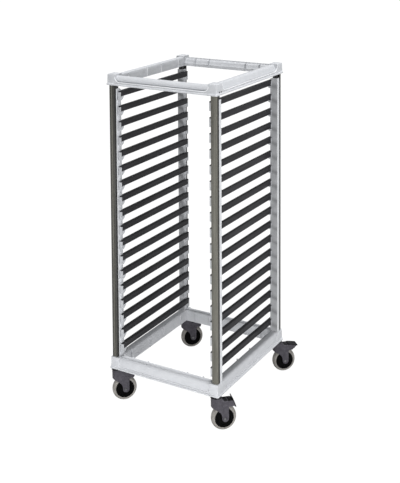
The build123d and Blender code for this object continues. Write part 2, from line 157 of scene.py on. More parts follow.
def bump(tree, shader, source, strength, distance):
    """Fine relief; the distance is in metres."""
    node = add(tree, "ShaderNodeBump", in_Strength=strength, in_Distance=distance)
    tree.links.new(source, node.inputs["Height"])
    tree.links.new(node.outputs["Normal"], shader.inputs["Normal"])


EDGE_FULL = 0.86                   # cosine of rounded and true normal where an edge is white
EDGE_NONE = 0.995                  # and where it has faded out


def edge_mask(tree, radius):
    """White on convex and concave edges: how far a rounded normal leaves the true one."""
    rounded = add(tree, "ShaderNodeBevel", samples=4, in_Radius=radius)
    geometry = add(tree, "ShaderNodeNewGeometry")
    dot = add(tree, "ShaderNodeVectorMath", operation="DOT_PRODUCT")
    tree.links.new(rounded.outputs["Normal"], dot.inputs[0])
    tree.links.new(geometry.outputs["Normal"], dot.inputs[1])
    return ramp(tree, dot.outputs["Value"], ((EDGE_FULL, 1.0), (EDGE_NONE, 0.0)))


# ---------------------------------------------------------------- materials
RAIL_SLANT = 3.0                   # how steeply the shade on the posts slants, in levels a metre
RAIL_SHADE = 0.9                   # its strength on faces square to the front
SHADE_BANDS = ((0.0, 0.58), (0.20, 0.72), (0.62, 0.64), (0.84, 0.34), (1.0, 0.50))


def rail_shade(tree, base):
    """Painted shade that the rails cast on the posts under every level, slanting across the faces."""
    coord = add(tree, "ShaderNodeTexCoord")
    place_of = add(tree, "ShaderNodeSeparateXYZ")
    tree.links.new(coord.outputs["Object"], place_of.inputs[0])
    level = add(tree, "ShaderNodeMath", operation="MULTIPLY_ADD")
    level.inputs[1].default_value = 1 / (PITCH * MM)
    level.inputs[2].default_value = -RAIL_Z / PITCH
    tree.links.new(place_of.outputs["Z"], level.inputs[0])
    slant = add(tree, "ShaderNodeMath", operation="MULTIPLY_ADD")
    slant.inputs[1].default_value = RAIL_SLANT
    tree.links.new(place_of.outputs["X"], slant.inputs[0])
    tree.links.new(level.outputs[0], slant.inputs[2])
    within = add(tree, "ShaderNodeMath", operation="FRACT")
    tree.links.new(slant.outputs[0], within.inputs[0])
    band = ramp(tree, within.outputs[0], SHADE_BANDS)
    normal_of = add(tree, "ShaderNodeSeparateXYZ")
    tree.links.new(coord.outputs["Normal"], normal_of.inputs[0])
    facing = add(tree, "ShaderNodeMath", operation="ABSOLUTE")
    tree.links.new(normal_of.outputs["Y"], facing.inputs[0])
    share = add(tree, "ShaderNodeMath", operation="MULTIPLY")
    share.inputs[1].default_value = RAIL_SHADE
    tree.links.new(facing.outputs[0], share.inputs[0])
    return mix(tree, "MULTIPLY", share.outputs[0], base, band)


SPECK = (0.27, 0.275, 0.29)
WEAR_AND_HIGHLIGHT_GREY = (0.74, 0.74, 0.76)
WEAR_AND_HIGHLIGHT_GREY_SHARE = (0.22, 0.22, 0.22)
WEAR_AND_HIGHLIGHT_DARK_SHARE = (0.6, 0.6, 0.6)


def grey_plastic(name, low, high, shaded=False):
    """Pale moulded plastic with a dark speckle and a faint cloud."""
    mat, tree, shader = new_material(name)
    base = ramp(tree, noise(tree, 26.0, 3.0), ((0.3, low), (0.7, high)))
    cloud = ramp(tree, noise(tree, 170.0, 3.0), ((0.35, 0.95), (0.65, 1.0)))
    base = mix(tree, "MULTIPLY", 0.6, base, cloud)
    specks = ramp(tree, noise(tree, 620.0, 1.0), ((0.30, 1.0), (0.36, 0.0)))
    base = mix(tree, "MIX", specks, base, SPECK)
    # paler convex and concave edges: partly wear, partly painted highlight
    wear_and_highlight = mix(tree, "MULTIPLY", 1.0, edge_mask(tree, 0.0016), WEAR_AND_HIGHLIGHT_GREY_SHARE)
    base = mix(tree, "MIX", wear_and_highlight, base, WEAR_AND_HIGHLIGHT_GREY)
    # painted shade of the rails, for the posts
    if shaded:
        base = rail_shade(tree, base)
    tree.links.new(base, shader.inputs["Base Color"])
    rough = ramp(tree, noise(tree, 90.0, 2.0), ((0.3, 0.42), (0.7, 0.56)))
    tree.links.new(rough, shader.inputs["Roughness"])
    bump(tree, shader, noise(tree, 900.0, 2.0), 0.12, 0.0004)
    return mat


def dark_plastic(name, low, high, rough_low, rough_high, stretch=None, sheen=0.3):
    """Dark moulded plastic: streaked or clouded tone, uneven sheen, fine grain, paler edges that are partly
    wear and partly painted highlight.
    """
    mat, tree, shader = new_material(name)
    base = ramp(tree, noise(tree, 60.0, 4.0, stretch), ((0.3, low), (0.7, high)))
    # paler convex and concave edges: partly wear, partly painted highlight
    wear_and_highlight = mix(tree, "MULTIPLY", 1.0, edge_mask(tree, 0.0014), WEAR_AND_HIGHLIGHT_DARK_SHARE)
    paler = tuple(min(1.0, 2.2 * value + 0.01) for value in high)
    base = mix(tree, "MIX", wear_and_highlight, base, paler)
    tree.links.new(base, shader.inputs["Base Color"])
    rough = ramp(tree, noise(tree, 35.0, 3.0, stretch), ((0.3, rough_low), (0.7, rough_high)))
    tree.links.new(rough, shader.inputs["Roughness"])
    bump(tree, shader, noise(tree, 700.0, 2.0), 0.15, 0.0004)
    shader.inputs["Specular IOR Level"].default_value = sheen
    return mat


# Streaks: noise is drawn out along an axis by scaling that axis down.
ALONG_RAIL = (1.0, 0.08, 1.0)
UP_CARRIER = (1.0, 1.0, 0.06)
UP_RUBBER = (1.0, 1.0, 0.05)
UP_METAL = (1.0, 1.0, 0.15)
SHADED_BELOW = 0.970               # cosine below which an arched face counts as turned away
UNSHADED_ABOVE = 0.980
SIDE_SHADE = 0.12                        # what is left of the tone there, as painted shade


def side_shaded_rubber(name, low, high):
    """Bumper rubber with painted shade where its arched face turns away to the sides."""
    mat = dark_plastic(name, low, high, 0.42, 0.60, UP_RUBBER)
    tree = mat.node_tree
    shader = tree.nodes["Principled BSDF"]
    unshaded = shader.inputs["Base Color"].links[0].from_socket
    coord = add(tree, "ShaderNodeTexCoord")
    normal_of = add(tree, "ShaderNodeSeparateXYZ")
    tree.links.new(coord.outputs["Normal"], normal_of.inputs[0])
    facing = add(tree, "ShaderNodeMath", operation="ABSOLUTE")
    tree.links.new(normal_of.outputs["Y"], facing.inputs[0])
    shade = ramp(tree, facing.outputs[0], ((SHADED_BELOW, SIDE_SHADE), (UNSHADED_ABOVE, 1.0)))
    tree.links.new(mix(tree, "MULTIPLY", 1.0, unshaded, shade), shader.inputs["Base Color"])
    return mat


TREAD_DARK = (0.185, 0.174, 0.160)
TREAD_PALE = (0.265, 0.252, 0.235)
DUST = (0.34, 0.325, 0.30)
DUST_SHARE = (0.4, 0.4, 0.4)


def tyre_rubber():
    """Taupe-grey rubber with scuffed, dusty patches on the tread."""
    mat, tree, shader = new_material("tyre_rubber")
    base = ramp(tree, noise(tree, 45.0, 4.0), ((0.3, TREAD_DARK), (0.7, TREAD_PALE)))
    scuffs = ramp(tree, noise(tree, 320.0, 3.0), ((0.52, 0.0), (0.70, 1.0)))
    scuffs = mix(tree, "MULTIPLY", 1.0, scuffs, DUST_SHARE)
    base = mix(tree, "MIX", scuffs, base, DUST)
    tree.links.new(base, shader.inputs["Base Color"])
    rough = ramp(tree, noise(tree, 200.0, 2.0), ((0.3, 0.6), (0.7, 0.8)))
    tree.links.new(rough, shader.inputs["Roughness"])
    bump(tree, shader, noise(tree, 1100.0, 2.0), 0.2, 0.0004)
    return mat


METAL = 0.85                       # how metallic the steel pieces are
ROUGH_SPREAD = 0.08


def metal(name, low, high, roughness):
    """Zinc-plated or blackened steel with brushed streaks."""
    mat, tree, shader = new_material(name)
    base = ramp(tree, noise(tree, 300.0, 3.0, UP_METAL), ((0.3, low), (0.7, high)))
    tree.links.new(base, shader.inputs["Base Color"])
    shader.inputs["Metallic"].default_value = METAL
    spread = ((0.3, roughness - ROUGH_SPREAD), (0.7, roughness + ROUGH_SPREAD))
    tree.links.new(ramp(tree, noise(tree, 500.0, 2.0), spread), shader.inputs["Roughness"])
    bump(tree, shader, noise(tree, 800.0, 1.0), 0.08, 0.0003)
    return mat


GREY = grey_plastic("speckled_grey_plastic", (0.500, 0.512, 0.535), (0.540, 0.550, 0.572))
# paler copy of the grey plastic: painted highlight on the recess beads
HIGHLIGHT_RIM = grey_plastic("highlight_rim_plastic", (0.74, 0.75, 0.77), (0.82, 0.83, 0.84))
# paler copy of the grey plastic: painted highlight on the top frame's side ribs
HIGHLIGHT_RIB = grey_plastic("highlight_rib_plastic", (0.64, 0.65, 0.67), (0.70, 0.71, 0.73))
# darker copy of the grey plastic: painted shade on the brackets, which sit among the rails
SHADED_BRACKET = grey_plastic("shaded_bracket_plastic", (0.400, 0.410, 0.430), (0.470, 0.480, 0.500))
POST = grey_plastic("post_plastic", (0.600, 0.612, 0.635), (0.660, 0.670, 0.690), shaded=True)
RAIL = dark_plastic("rail_plastic", (0.012, 0.012, 0.014), (0.024, 0.024, 0.027), 0.38, 0.52,
                    ALONG_RAIL, sheen=0.16)
BLACK = dark_plastic("black_plastic", (0.010, 0.010, 0.011), (0.022, 0.022, 0.023), 0.35, 0.50)
CARRIER = dark_plastic("bumper_carrier", (0.012, 0.012, 0.012), (0.024, 0.024, 0.024), 0.40, 0.55,
                       UP_CARRIER)
OLIVE = dark_plastic("bumper_rubber", (0.078, 0.076, 0.062), (0.135, 0.131, 0.112), 0.42, 0.60,
                     UP_RUBBER)
# bumper rubber with painted shade on the sides of its arch
SIDE_SHADED_RUBBER = side_shaded_rubber("side_shaded_bumper_rubber", (0.085, 0.083, 0.070), (0.140, 0.136, 0.118))
FORK = dark_plastic("fork_plastic", (0.048, 0.045, 0.054), (0.072, 0.068, 0.079), 0.42, 0.58,
                    sheen=0.14)
DISC = dark_plastic("wheel_disc_plastic", (0.0015, 0.0015, 0.0015), (0.004, 0.004, 0.004), 0.40, 0.55,
                    sheen=0.03)
PEDAL = dark_plastic("pedal_plastic", (0.005, 0.005, 0.006), (0.014, 0.014, 0.015), 0.40, 0.55,
                     sheen=0.12)
TYRE = tyre_rubber()
STEEL = metal("caster_steel", (0.10, 0.10, 0.105), (0.20, 0.20, 0.205), 0.42)
SCREW = metal("dark_screw", (0.03, 0.03, 0.032), (0.07, 0.07, 0.072), 0.45)


# ---------------------------------------------------------------- mesh toolkit
BEVEL_ANGLE = math.radians(32)     # edges sharper than this are rounded by the bevel modifier
SHARP_ANGLE = math.radians(38)     # and edges sharper than this stay crisp in the shading
MERGE = 0.01                       # points closer than this become one
CORNER_SHARE = 0.49                # the longest part of a side that one rounded corner may take


def round_edges(o, bevel, segments=2):
    """Rounds the sharp edges of an object with a bevel modifier."""
    if not bevel:
        return
    mod = o.modifiers.new("rounded_edges", "BEVEL")
    mod.width = bevel * MM
    mod.segments = segments
    mod.limit_method = "ANGLE"
    mod.angle_limit = BEVEL_ANGLE
    mod.use_clamp_overlap = True
    mod.harden_normals = True


def place(bm, name, material, body, bevel=0.0):
    """Turns millimetre mesh code into an object that rides on a body."""
    bmesh.ops.remove_doubles(bm, verts=bm.verts, dist=MERGE)
    bmesh.ops.recalc_face_normals(bm, faces=bm.faces)
    bmesh.ops.scale(bm, vec=(MM, MM, MM), verts=bm.verts)
    mesh = bpy.data.meshes.new(name)
    bm.to_mesh(mesh)
    bm.free()
    mesh.materials.append(material)
    mesh.shade_smooth()
    mesh.set_sharp_from_angle(angle=SHARP_ANGLE)
    o = bpy.data.objects.new(name, mesh)
    bpy.context.scene.collection.objects.link(o)
    round_edges(o, bevel)
    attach(o, body)
    return o


def dress(node, material, bevel, segments=2):
    """Gives a CAD node its material, and rounds its sharp edges."""
    o = nodes[node]
    o.data.materials.clear()
    o.data.materials.append(material)
    round_edges(o, bevel, segments)


def skin(bm, rings, closed=False):
    """Quads between rings of equal length; the end rings are capped unless the skin is closed."""
    made = [[bm.verts.new(p) for p in ring] for ring in rings]
    count = len(rings[0])
    pairs = list(zip(made, made[1:]))
    if closed:
        pairs.append((made[-1], made[0]))
    for near, far in pairs:
        for i in range(count):
            j = (i + 1) % count
            bm.faces.new((near[i], near[j], far[j], far[i]))
    if not closed:
        bm.faces.new(made[0])
        bm.faces.new(list(reversed(made[-1])))


def rounded(points, radii, steps=5):
    """A closed 2D outline with every corner rounded: one radius for all, or a list of them."""
    outline = []
    count = len(points)
    for i, point in enumerate(points):
        here = Vector(point)
        radius = radii[i] if isinstance(radii, list) else radii
        to_last = Vector(points[i - 1]) - here
        to_next = Vector(points[(i + 1) % count]) - here
        half = to_last.angle(to_next) / 2
        reach = min(radius / math.tan(half), CORNER_SHARE * to_last.length, CORNER_SHARE * to_next.length)
        start = here + to_last.normalized() * reach
        end = here + to_next.normalized() * reach
        for step in range(steps + 1):
            t = step / steps
            outline.append((1 - t) ** 2 * start + 2 * t * (1 - t) * here + t ** 2 * end)
    return outline


def arc_points(s, z, radius, start, end, steps):
    """Points along an arc from one angle to another, both in degrees."""
    points = []
    for step in range(steps + 1):
        a = math.radians(start + (end - start) * step / steps)
        points.append((s + radius * math.cos(a), z + radius * math.sin(a)))
    return points


# ---------------------------------------------------------------- frame members
RECESS_X = 268.0                   # half length of the front and rear recesses
RECESS_Y = 298.0                   # half length of the side recesses
RIM_R = 29.0                       # radius of the recess corners, seen from outside
TURN_DEGREES = range(0, 91, 9)     # steps round a recess corner
PANEL_STEPS = 11
PANEL_CROWD = 1.6                  # crowds the points of a panel towards its rounded top
GRIP_FULL = 0.30                   # the height at which a grip bar is fullest, as a share
STEP_AT = 0.38                     # height of the step in an inner wall, as a share
LEAN_AT = 0.72                     # and of the point where the wall starts to lean back
CROWN_SAG = 0.25                   # how far the top of a member sags towards its inner edge
BEAD = 4.5                         # width of the bead that runs round each recess
GROOVE = 2.5                       # width of the groove above the bead
EDGE = 1.2                         # rounding of the edges of a lip
CORNER_EDGE = 1.8                  # rounding of its upper outer edge


def grip_panel(v, foot, top):
    """How far out the grip bar's front is, at height v: fullest a third of the way up."""
    t = min(max((v - foot) / (top - foot), 0.0), 1.0)
    if t < GRIP_FULL:
        return 40.0 - 5.0 * (1.0 - t / GRIP_FULL) ** 2
    return 18.0 + 22.0 * math.sqrt(1.0 - ((t - GRIP_FULL) / (1.0 - GRIP_FULL)) ** 2)


def dished_panel(v, foot, top):
    """The top frame's sides: a rounded shoulder that runs out into a slightly dished slope."""
    t = (top - v) / (top - foot)
    shoulder = 8.0 * math.sqrt(max(0.0, 1.0 - (1.0 - min(1.0, t / 0.5)) ** 2))
    return 22.0 + shoulder + 9.0 * t - 1.5 * math.sin(math.pi * t)


def flat_panel(v, foot, top):
    """The bottom frame's walls: steep, with a rounded shoulder."""
    t = (v - foot) / (top - foot)
    return 29.0 + 15.0 * max(0.0, 1.0 - t ** 5.0) ** 0.5


# The four kinds of member: full height, height of the inner edge, height of the foot of the
# panel, shape of the panel, how far the inner wall steps back above its foot, and whether a
# groove and a raised bead run along the foot of the panel.
GRIP_BAR = {"height": 47.0, "inner": 40.0, "foot": 17.0, "panel": grip_panel, "step": 3.4, "beaded": True}
TOP_SIDE = {"height": 51.0, "inner": 50.0, "foot": 18.0, "panel": dished_panel, "step": 0.4,
            "beaded": True}
BASE_BAR = {"height": BASE_H, "inner": BASE_H - 1.0, "foot": 16.0, "panel": flat_panel, "step": 0.4,
            "beaded": False}
BASE_SIDE = {"height": BASE_H, "inner": BASE_H - 1.0, "foot": 18.0, "panel": flat_panel, "step": 0.4,
             "beaded": False}


def inner_wall(height, step):
    """Points up the inner wall: a straight foot, a small step, and a lean back to a rounded top."""
    step_v = STEP_AT * height
    return [(0.0, 0.0), (0.4 * step, step_v), (step, step_v + 0.5 * step),
            (1.8 * step, LEAN_AT * height), (2.9 * step, height - 4.0),
            (3.4 * step + 1.6, height - 1.5), (3.6 * step + 4.0, height)]


def beaded_ledge(last_u):
    """From the foot of a panel outwards: a groove, then a raised bead."""
    return [(last_u + 0.8, -1.4), (MEMBER - BEAD - 0.8, -1.8), (MEMBER - BEAD, -0.8),
            (MEMBER - 0.7 * BEAD, 0.6), (MEMBER - 0.4 * BEAD, 0.4), (MEMBER - 0.12 * BEAD, -1.4)]


def plain_ledge(last_u):
    """From the foot of a panel outwards: a small rounded ledge."""
    return [(last_u + 0.5, -0.6), (MEMBER - 1.5, -1.0), (MEMBER - 1.0, -1.5), (MEMBER - 0.5, -2.1),
            (MEMBER - 0.2, -2.7), (MEMBER - 0.05, -3.3)]


def beaded_skirt():
    """How a beaded member's wall runs out into the lip."""
    return [(MEMBER, LIP_H + 2.0), (MEMBER + 0.4 * LIP, LIP_H + 0.6), (MEMBER + LIP - EDGE, LIP_H)]


def plain_skirt():
    """How a plain member's wall runs out into the lip."""
    return [(MEMBER, LIP_H + 3.0), (MEMBER + 0.25 * LIP, LIP_H + 1.6), (MEMBER + LIP - 1.6, LIP_H - 0.2)]


def member_ring(distance, kind):
    """Section of a member, so far in from the end of its recess.

    u runs out from the inner wall and v up from the underside.
    """
    height, inner_height, panel = kind["height"], kind["inner"], kind["panel"]
    run = min(max(distance, 0.0), RIM_R)
    rise = RIM_R - math.sqrt(RIM_R ** 2 - (RIM_R - run) ** 2)
    low_foot = min(kind["foot"] + rise, height - 3.0)
    ring = inner_wall(inner_height, kind["step"])
    top_u = panel(height, kind["foot"], height)
    ring.append((0.5 * (ring[-1][0] + top_u), height - CROWN_SAG * (height - inner_height)))
    for step in range(PANEL_STEPS + 1):
        v = height - (step / PANEL_STEPS) ** PANEL_CROWD * (height - low_foot)
        ring.append((panel(v, kind["foot"], height), v))
    ledge_w = BEAD + GROOVE if kind["beaded"] else GROOVE
    last_u = min(ring[-1][0], MEMBER - ledge_w)
    ring[-1] = (last_u, low_foot)
    ledge = beaded_ledge(last_u) if kind["beaded"] else plain_ledge(last_u)
    ring += [(u, low_foot + v) for u, v in ledge]
    ring.append((MEMBER, low_foot - 3.9))
    ring += beaded_skirt() if kind["beaded"] else plain_skirt()
    ring += [(MEMBER + LIP, LIP_H - CORNER_EDGE), (MEMBER + LIP, EDGE), (MEMBER + LIP - EDGE, 0.0)]
    return ring


def member(name, kind, half_length, base, along_x, side):
    """One straight member, recessed between rounded ends."""
    steps = [RIM_R * (1 - math.cos(math.radians(a))) for a in TURN_DEGREES]
    stations = [-half_length + s for s in steps] + [half_length - s for s in reversed(steps)]
    rings = []
    for s in stations:
        section = member_ring(half_length - abs(s), kind)
        if along_x:
            rings.append([(s, side * (INNER_Y + u), base + v) for u, v in section])
        else:
            rings.append([(side * (INNER_X + u), s, base + v) for u, v in section])
    bm = bmesh.new()
    skin(bm, rings)
    return place(bm, name, GREY, "rack")


BEAD_R = 1.7                       # radius of the bead, painted pale as a highlight
BEAD_IN = 0.9                      # how far its middle lies behind the member's outer face
BEAD_SIDES = 10


def recess_rim(name, kind, half_length, base, rim_top, along_x, side):
    """Bead painted pale as a highlight, round the foot and the rounded ends of a recess, up to rim_top."""
    path = []
    for degrees in TURN_DEGREES:
        turn = math.radians(degrees)
        path.append((-half_length + RIM_R * (1 - math.cos(turn)), kind["foot"] + RIM_R * (1 - math.sin(turn)),
                     math.sin(turn), -math.cos(turn)))
    path = [p for p in path if p[1] < rim_top]
    path += [(-x, z, across, -up) for x, z, across, up in reversed(path)]
    rings = []
    for x, z, across, up in path:
        ring = []
        for step in range(BEAD_SIDES):
            a = math.radians(360 // BEAD_SIDES * step)
            out = MEMBER - BEAD_IN + BEAD_R * math.sin(a)
            sideways = BEAD_R * math.cos(a)
            px, pz = x - up * sideways, base + z + across * sideways
            ring.append((px, side * (INNER_Y + out), pz) if along_x else (side * (INNER_X + out), px, pz))
        rings.append(ring)
    bm = bmesh.new()
    skin(bm, rings)
    return place(bm, name, HIGHLIGHT_RIM, "rack")


BLOCK_R = 3.6                      # rounding of a corner block's outer upright edge
BLOCK_INNER_R = 2.0                # and of its other three
DOME_SHARE = 0.6                   # size of the flat of the dome beside the whole top


def corner_profile(height):
    """Height and outward reach of the walls of a corner block, from the lip to the top edge."""
    lip = [(0.0, LIP - EDGE), (EDGE, LIP), (LIP_H - EDGE, LIP), (LIP_H, LIP - EDGE)]
    flare = [(LIP_H + 0.6, 2.8), (LIP_H + 2.0, 1.4), (LIP_H + 5.0, 0.8), (LIP_H + 14.0, 0.3)]
    wall = [(height * 0.7, 0.0), (height - 3.0, -0.3)]
    top_edge = [(height - EDGE, -0.8), (height - 0.3, -1.8), (height, -3.4)]
    return lip + flare + wall + top_edge


def corner_block(name, sx, sy, base, height, rise):
    """Corner block: crisp edges, a slightly domed top, and walls that flare into the lip."""
    rings = []
    for v, grow in corner_profile(height):
        inner = min(grow, 0.5)
        x0, x1 = INNER_X - inner * 0.2, WALL_X + grow
        y0, y1 = RECESS_Y - inner, WALL_Y + grow
        outline = rounded([(x0, y0), (x1, y0), (x1, y1), (x0, y1)],
                          [BLOCK_INNER_R, BLOCK_INNER_R, BLOCK_R + max(grow, 0.0), BLOCK_INNER_R])
        rings.append([(sx * p.x, sy * p.y, base + v) for p in outline])
    middle_x = sx * (INNER_X + WALL_X) / 2
    middle_y = sy * (RECESS_Y + WALL_Y) / 2
    rings.append([(DOME_SHARE * x + (1 - DOME_SHARE) * middle_x, DOME_SHARE * y + (1 - DOME_SHARE) * middle_y,
                   base + height + rise) for x, y, _ in rings[-1]])
    bm = bmesh.new()
    skin(bm, rings)
    return place(bm, name, GREY, "rack")


RIB_OUT = 4.5                      # how far the ribs stand out of the inner walls
RIB_TIP = 1.8                      # half thickness of a rib at its tip
RIB_ROOT = 2.4                     # and at its root
RIB_R = 0.8                        # rounding of its edges
RIB_Z = 1.0                        # its foot, above the underside of the frame
BAR_ROOT = 14.0                    # how deep the ribs reach into a front or rear member
SIDE_ROOT = 1.0                    # and into a side member


def ribs(name, base, top, places, along_x, material):
    """Thin upright ribs on the inner faces of two members, at both signs of every place."""
    wall, root = (INNER_Y, BAR_ROOT) if along_x else (INNER_X, SIDE_ROOT)
    bm = bmesh.new()
    for at in places:
        for side in (-1, 1):
            for middle in (-at, at):
                outline = rounded([(middle - RIB_TIP, wall - RIB_OUT), (middle + RIB_TIP, wall - RIB_OUT),
                                   (middle + RIB_ROOT, wall + root), (middle - RIB_ROOT, wall + root)],
                                  RIB_R, 3)
                for_x = [(along, side * across) for along, across in outline]
                plan = for_x if along_x else [(across, along) for along, across in for_x]
                skin(bm, [[(x, y, base + z) for x, y in plan] for z in (RIB_Z, top)])
    return place(bm, name, material, "rack")


TOP_DOME = 1.0                     # rise of the domes on the top corner blocks
GRIP_RIM_TOP = 44.0                # where the polished beads end, above the underside
SIDE_RIM_TOP = 48.0
GRIP_RIB_TOP = 40.0
SIDE_RIB_TOP = 46.0
BASE_RIB_TOP = BASE_H - 0.5
GRIP_RIBS_AT = (112.0, 196.0)
BASE_RIBS_AT = (114.0, 204.0)
SIDE_RIBS_AT = (68.0, 241.0)


def top_frame():
    """The upper moulding: two grip bars, two side members and four corner blocks."""
    parts = []
    for end, sy in FRONT_REAR:
        parts.append(member("top_grip_bar_" + end, GRIP_BAR, RECESS_X, TOP_Z, True, sy))
        parts.append(recess_rim("top_grip_rim_" + end, GRIP_BAR, RECESS_X, TOP_Z, GRIP_RIM_TOP, True, sy))
    for side, sx in LEFT_RIGHT:
        parts.append(member("top_side_member_" + side, TOP_SIDE, RECESS_Y, TOP_Z, False, sx))
        parts.append(recess_rim("top_side_rim_" + side, TOP_SIDE, RECESS_Y, TOP_Z, SIDE_RIM_TOP, False, sx))
    for corner, sx, sy in CORNERS:
        parts.append(corner_block("top_corner_" + corner, sx, sy, TOP_Z, TOP_H - TOP_DOME, TOP_DOME))
    parts.append(ribs("top_bar_ribs", TOP_Z, GRIP_RIB_TOP, GRIP_RIBS_AT, True, GREY))
    # the top side ribs are painted pale as a highlight
    parts.append(ribs("top_side_ribs", TOP_Z, SIDE_RIB_TOP, SIDE_RIBS_AT, False, HIGHLIGHT_RIB))
    for part in parts:
        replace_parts(part, "top_frame")


def bottom_frame():
    """The lower moulding: four plain members and four flat corner blocks."""
    parts = []
    for end, sy in FRONT_REAR:
        parts.append(member("base_member_" + end, BASE_BAR, RECESS_X, BASE_Z, True, sy))
    for side, sx in LEFT_RIGHT:
        parts.append(member("base_side_member_" + side, BASE_SIDE, RECESS_Y, BASE_Z, False, sx))
    for corner, sx, sy in CORNERS:
        parts.append(corner_block("base_corner_" + corner, sx, sy, BASE_Z, BASE_H, 0.0))
    parts.append(ribs("base_bar_ribs", BASE_Z, BASE_RIB_TOP, BASE_RIBS_AT, True, GREY))
    parts.append(ribs("base_side_ribs", BASE_Z, BASE_RIB_TOP, SIDE_RIBS_AT, False, GREY))
    for part in parts:
        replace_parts(part, "bottom_frame")


top_frame()
bottom_frame()


# ---------------------------------------------------------------- posts, brackets, rails
CAP_RISE = 5.0                     # how far the rubber cap is arched
CAP_SIDE = 8.0                     # height of its side walls
CAP_WIDTH = 0.985                  # its width, as a share of the post's
CAP_HEM = 1.0                      # its side walls turn in by this much at the back
CAP_HEM_T = 0.2
CAP_END = 0.5                      # it stops this far short of both ends of its carrier
CAP_STEPS = 24
GROOVE_AT = 0.42                   # two grooves divide the cap into three strips
GROOVE_W = 0.10
GROOVE_D = 1.3
LAP = 9.0                          # how far the carrier laps the outer side of the post
LAP_T = 0.8
LAP_SINK = 0.5                     # how far the lap is let into the post
CARRIER_SIDE = 2.0                 # thickness of the carrier's side walls and of its floor
CARRIER_RISE = 0.5                 # how far they stand up beside the cap


def cap_arch(t):
    """How far a cap stands back from its crown, t running from -1 to 1 across it."""
    groove = max(0.0, 1.0 - ((abs(t) - GROOVE_AT) / GROOVE_W) ** 2)
    return CAP_RISE * t * t + GROOVE_D * groove


def bumper(corner, sx, sy):
    """Bumper strip: a black carrier that laps the post, with an arched rubber cap in front."""
    half = (POST_X1 - POST_X0) / 2
    middle = sx * (POST_X0 + POST_X1) / 2
    shoulder = BUMPER_Y1 - CAP_RISE - CAP_SIDE
    lap_x = half + LAP_T
    lap_y = POST_Y1 - LAP
    brim = shoulder + CARRIER_RISE
    floor_y = POST_Y1 + CARRIER_SIDE
    carrier = [(-half, POST_Y1), (half - LAP_SINK, POST_Y1), (half - LAP_SINK, lap_y), (lap_x, lap_y),
               (lap_x, brim), (half - CARRIER_SIDE, brim), (half - CARRIER_SIDE, floor_y),
               (CARRIER_SIDE - half, floor_y), (CARRIER_SIDE - half, brim), (-half, brim)]
    bm = bmesh.new()
    skin(bm, [[(middle + sx * x, sy * y, z) for x, y in carrier] for z in (SLEEVE_Z0, TOP_Z)])
    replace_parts(place(bm, "bumper_carrier_" + corner, CARRIER, "rack"), "bumper_strip_" + corner)
    cap_half = CAP_WIDTH * half
    cap = []
    for step in range(CAP_STEPS + 1):
        t = -1 + 2 * step / CAP_STEPS
        cap.append((cap_half * t, BUMPER_Y1 - cap_arch(t)))
    cap += [(cap_half, shoulder), (cap_half - CAP_HEM, shoulder - CAP_HEM_T),
            (CAP_HEM - cap_half, shoulder - CAP_HEM_T), (-cap_half, shoulder)]
    # the left bumpers carry painted shade on the sides of their arch
    rubber = OLIVE if sx > 0 else SIDE_SHADED_RUBBER
    bm = bmesh.new()
    skin(bm, [[(middle + x, sy * y, z) for x, y in cap] for z in (SLEEVE_Z0 + CAP_END, TOP_Z - CAP_END)])
    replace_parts(place(bm, "bumper_cap_" + corner, rubber, "rack"), "bumper_strip_" + corner)


def posts():
    for corner, sx, sy in CORNERS:
        dress("post_core_" + corner, BLACK, 1.5)
        dress("post_sleeve_" + corner, POST, 1.2)
        dress("rail_bracket_" + corner, SHADED_BRACKET, 0.8)
        bumper(corner, sx, sy)


def rails():
    for level in range(LEVELS):
        dress("rail_pair_%02d" % (level + 1), RAIL, 0.7)


posts()
rails()
dress("frame_screws", SCREW, 0.3)


# ---------------------------------------------------------------- casters
def caster_space(corner):
    """A function from the wheel's plane to space: s along the trail, z up, w across, outwards.

    The length of the trail and the height of the axle come with it.
    """
    pivot = Vector(JOINTS["swivel_" + corner]["pos_m"]) / MM
    axle = Vector(JOINTS["wheel_spin_" + corner]["pos_m"]) / MM
    across = Vector(JOINTS["wheel_spin_" + corner]["axis"])
    trail = Vector((axle.x - pivot.x, axle.y - pivot.y, 0.0))
    along = trail.normalized()

    def at(s, z, w):
        return (pivot.x + s * along.x + w * across.x, pivot.y + s * along.y + w * across.y, z)

    return at, trail.length, axle.z


def plate(bm, at, outline, w0, w1):
    """A flat piece in the wheel's plane, from w0 to w1 across."""
    skin(bm, [[at(p[0], p[1], w) for p in outline] for w in (w0, w1)])


def slab(bm, at, plan, z0, z1):
    """A level piece of the same space, from z0 to z1 up; its plan is drawn in s and w."""
    skin(bm, [[at(p[0], z, p[1]) for p in plan] for z in (z0, z1)])


FORK_W = 26.0                      # half width of a fork
TRIM_SINK = 0.5                    # how far trim is let into its sides
FENDER_IN, FENDER_OUT = 63.5, 66.5
FENDER_START, FENDER_END = 62, 104
FENDER_T = 1.2
LEG_T = 0.7
HOUSING_R = 24.0                   # round housing at the head of a fork
BAND_T = 0.8                       # a thin band runs round the housing
BAND_END, BAND_FRONT = 22.0, 30.0
BAND_Z = 148.0
BAND_H = 2.6
HOOD_Z = 146.0                     # level top of the hood
COVER_BACK, COVER_FRONT = 36.0, 54.0
COVER_W = 20.0                     # half width of the cover in the hood
COVER_SINK = 3.0
COVER_RISE = 1.6


